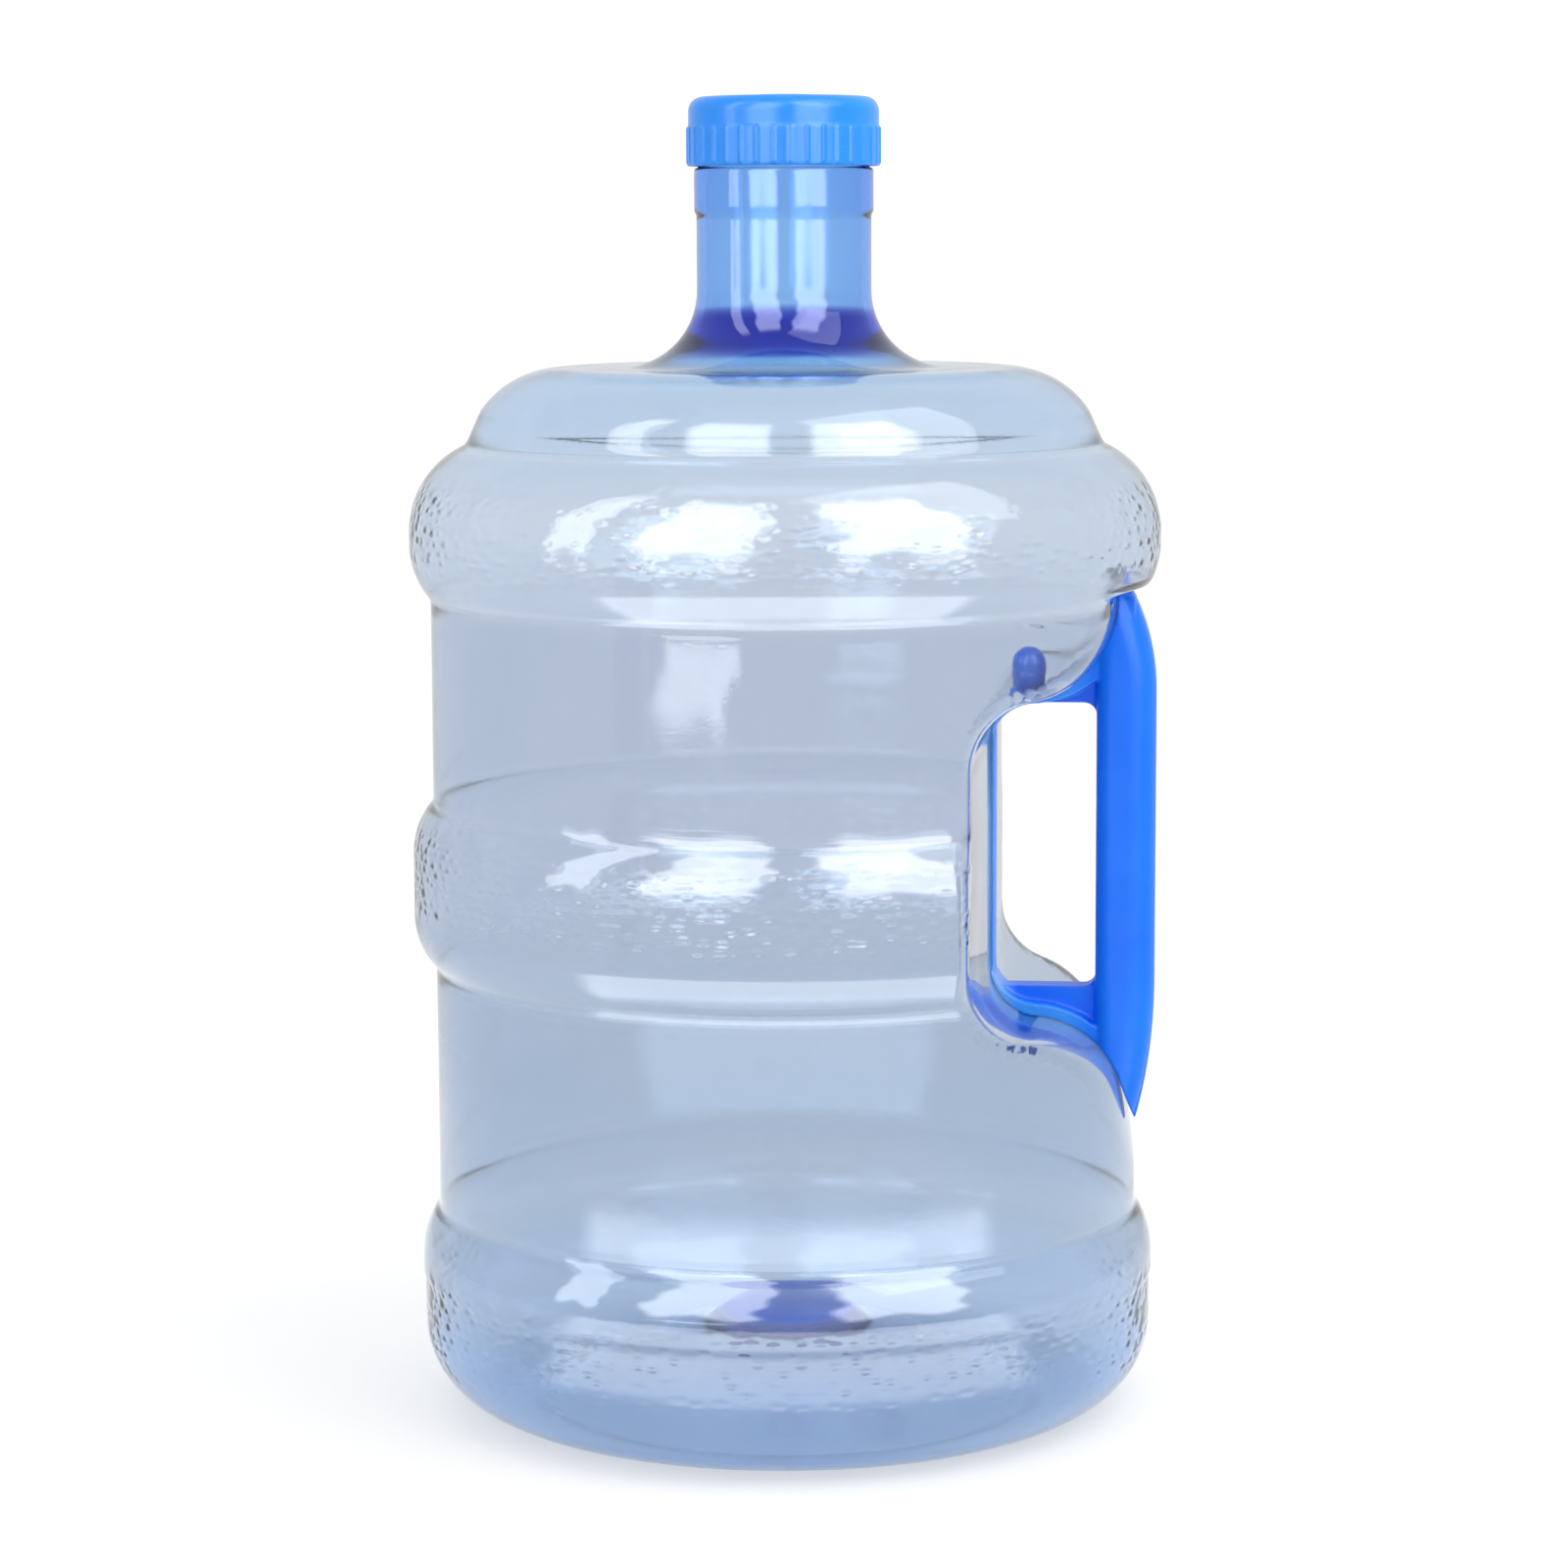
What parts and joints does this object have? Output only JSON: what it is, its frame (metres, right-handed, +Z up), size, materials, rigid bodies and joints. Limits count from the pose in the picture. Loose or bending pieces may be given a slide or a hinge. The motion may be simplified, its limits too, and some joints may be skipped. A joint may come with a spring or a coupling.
{
  "type": "water jug",
  "caption": "Tall round blown water jug with stippled bulges, a moulded grip across a notch in its side, and a ribbed screw cap with a sealing disc.",
  "frame": {"origin": "on the jug's axis, in the plane of the foot ring", "axes": "+Z up along the axis, +X towards the handle"},
  "size_m": [0.236, 0.236, 0.413],
  "materials": {
    "bottle": "clear, glossy",
    "handle": "satin moulded",
    "screw_cap": "satin moulded",
    "cap_liner": "soft foam, matte"
  },
  "bodies": {
    "bottle_body": {"bottle": "bottle", "handle": "handle"},
    "liner_body": {"cap_liner": "cap_liner"},
    "cap_body": {"screw_cap": "screw_cap"}
  },
  "joints": [
    {"name": "cap_lift", "type": "slide", "parent": "bottle_body", "child": "liner_body", "axis": [0, 0, 1], "range_m": [0, 0.0241]},
    {"name": "cap_turn", "type": "hinge", "parent": "liner_body", "child": "cap_body", "pos_m": [0, 0, 0.391], "axis": [0, 0, 1], "range_deg": [0, 1440]}
  ],
  "couplings": [
    {"joint": "cap_lift", "follows": "cap_turn", "m_per_rad": 0.00095493}
  ]
}
